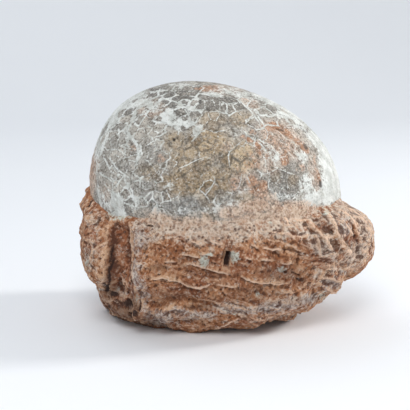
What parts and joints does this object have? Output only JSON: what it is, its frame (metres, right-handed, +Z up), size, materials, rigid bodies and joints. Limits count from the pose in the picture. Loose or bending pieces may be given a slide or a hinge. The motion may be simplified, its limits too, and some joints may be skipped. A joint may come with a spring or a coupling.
{
  "type": "fossil dinosaur egg in rock",
  "caption": "Fossil dinosaur egg with a cracked shell, lying half sunk in a loose lump of red sandstone with a small flat foot.",
  "frame": {"origin": "bottom centre of the bounding box, on the surface that the rock stands on", "axes": "+X along the length, towards the rock's knob; -Y towards the front; +Z up"},
  "size_m": [0.1678, 0.1261, 0.132],
  "materials": {
    "fossil_shell": "matte fossil eggshell, grey and tan, with pale calcite in the cracks",
    "red_sandstone": "rough granular red sandstone"
  },
  "bodies": {
    "root": {"egg": "fossil_shell", "matrix": "red_sandstone"}
  },
  "joints": []
}
